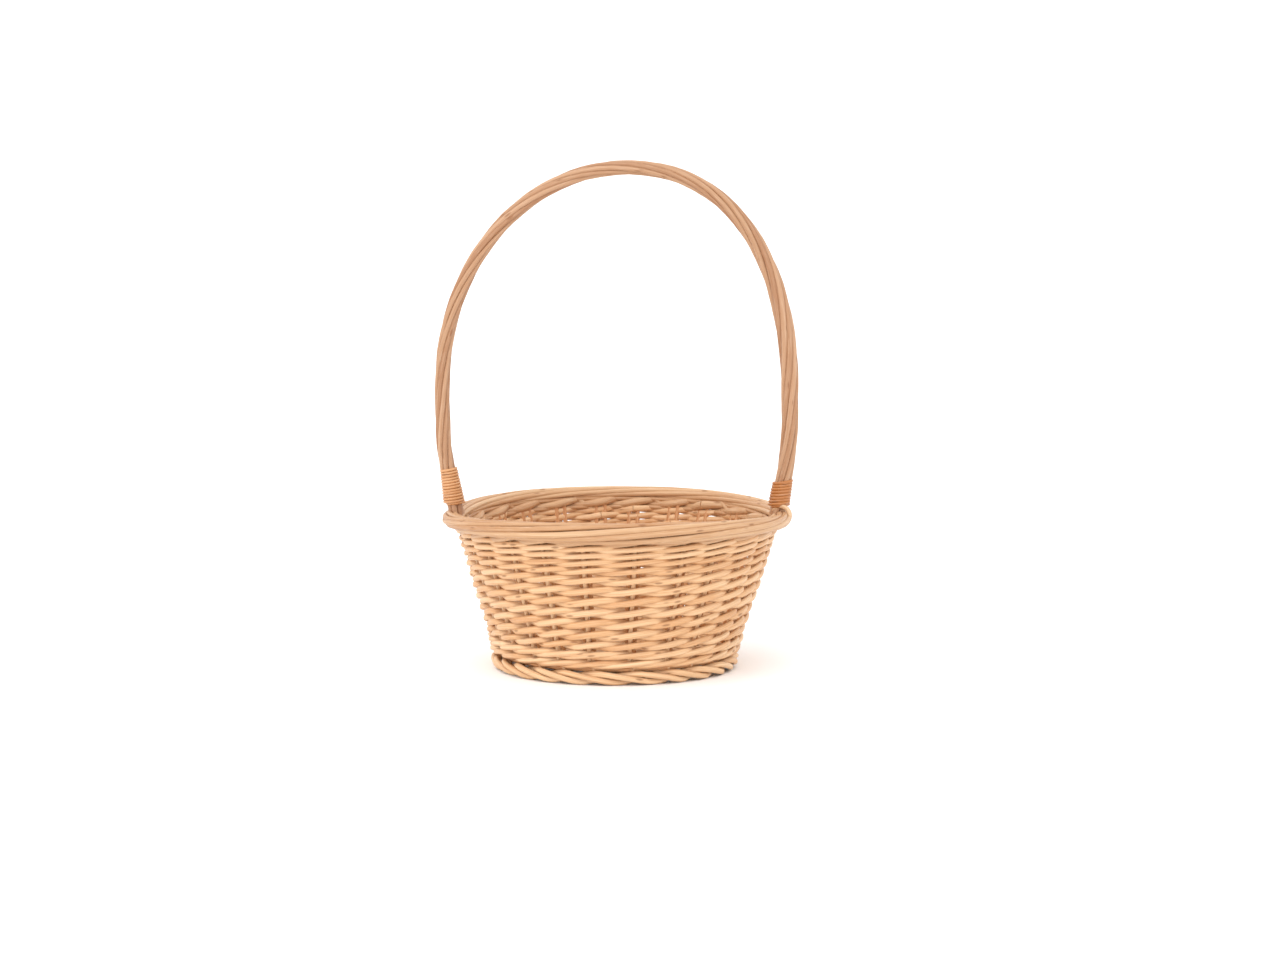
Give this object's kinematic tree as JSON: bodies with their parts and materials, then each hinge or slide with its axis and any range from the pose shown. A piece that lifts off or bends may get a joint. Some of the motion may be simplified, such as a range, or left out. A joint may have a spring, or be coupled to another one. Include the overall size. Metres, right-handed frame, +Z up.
{
  "type": "woven market basket",
  "caption": "Round willow basket with a flared twined wall, rolled rim, foot border and a tall fixed roped hoop handle, for carrying shopping, flowers or produce.",
  "frame": {"origin": "centre of the foot, on the surface that the basket stands on", "axes": "+Z up, X along the plane of the hoop handle, Y across it through the front and back of the bowl"},
  "size_m": [0.3104, 0.2998, 0.4349],
  "materials": {
    "pale_willow": "satin, woven stripped willow, honey to peach",
    "stake_willow": "satin, round willow rod",
    "base_willow": "satin, woven base, slightly darker",
    "border_willow": "satin, rolled willow rods, paler",
    "handle_willow": "satin, long twisted willow rods",
    "binding_cane": "satin, orange-brown wound cane"
  },
  "bodies": {
    "root": {"base_stick_1": "base_willow", "base_stick_2": "base_willow", "base_stick_3": "base_willow", "base_stick_4": "base_willow", "base_stick_5": "base_willow", "base_stick_6": "base_willow", "base_weave": "base_willow", "foot_border": "border_willow", "upset_wale": "pale_willow", "side_stake_01": "stake_willow", "side_stake_02": "stake_willow", "side_stake_03": "stake_willow", "side_stake_04": "stake_willow", "side_stake_05": "stake_willow", "side_stake_06": "stake_willow", "side_stake_07": "stake_willow", "side_stake_08": "stake_willow", "side_stake_09": "stake_willow", "side_stake_10": "stake_willow", "side_stake_11": "stake_willow", "side_stake_12": "stake_willow", "side_stake_13": "stake_willow", "side_stake_14": "stake_willow", "side_stake_15": "stake_willow", "side_stake_16": "stake_willow", "side_stake_17": "stake_willow", "side_stake_18": "stake_willow", "side_stake_19": "stake_willow", "side_stake_20": "stake_willow", "side_stake_21": "stake_willow", "side_stake_22": "stake_willow", "side_stake_23": "stake_willow", "side_stake_24": "stake_willow", "pairing_course_01": "pale_willow", "pairing_course_02": "pale_willow", "pairing_course_03": "pale_willow", "pairing_course_04": "pale_willow", "pairing_course_05": "pale_willow", "pairing_course_06": "pale_willow", "pairing_course_07": "pale_willow", "pairing_course_08": "pale_willow", "pairing_course_09": "pale_willow", "pairing_course_10": "pale_willow", "pairing_course_11": "pale_willow", "rim_border": "border_willow", "handle_bow": "handle_willow", "handle_rope_rod_1": "handle_willow", "handle_rope_rod_2": "handle_willow", "handle_rope_rod_3": "handle_willow", "handle_rope_rod_4": "handle_willow", "handle_rope_rod_5": "handle_willow", "handle_rope_rod_6": "handle_willow", "handle_rope_rod_7": "handle_willow", "left_binding": "binding_cane", "right_binding": "binding_cane"}
  },
  "joints": []
}
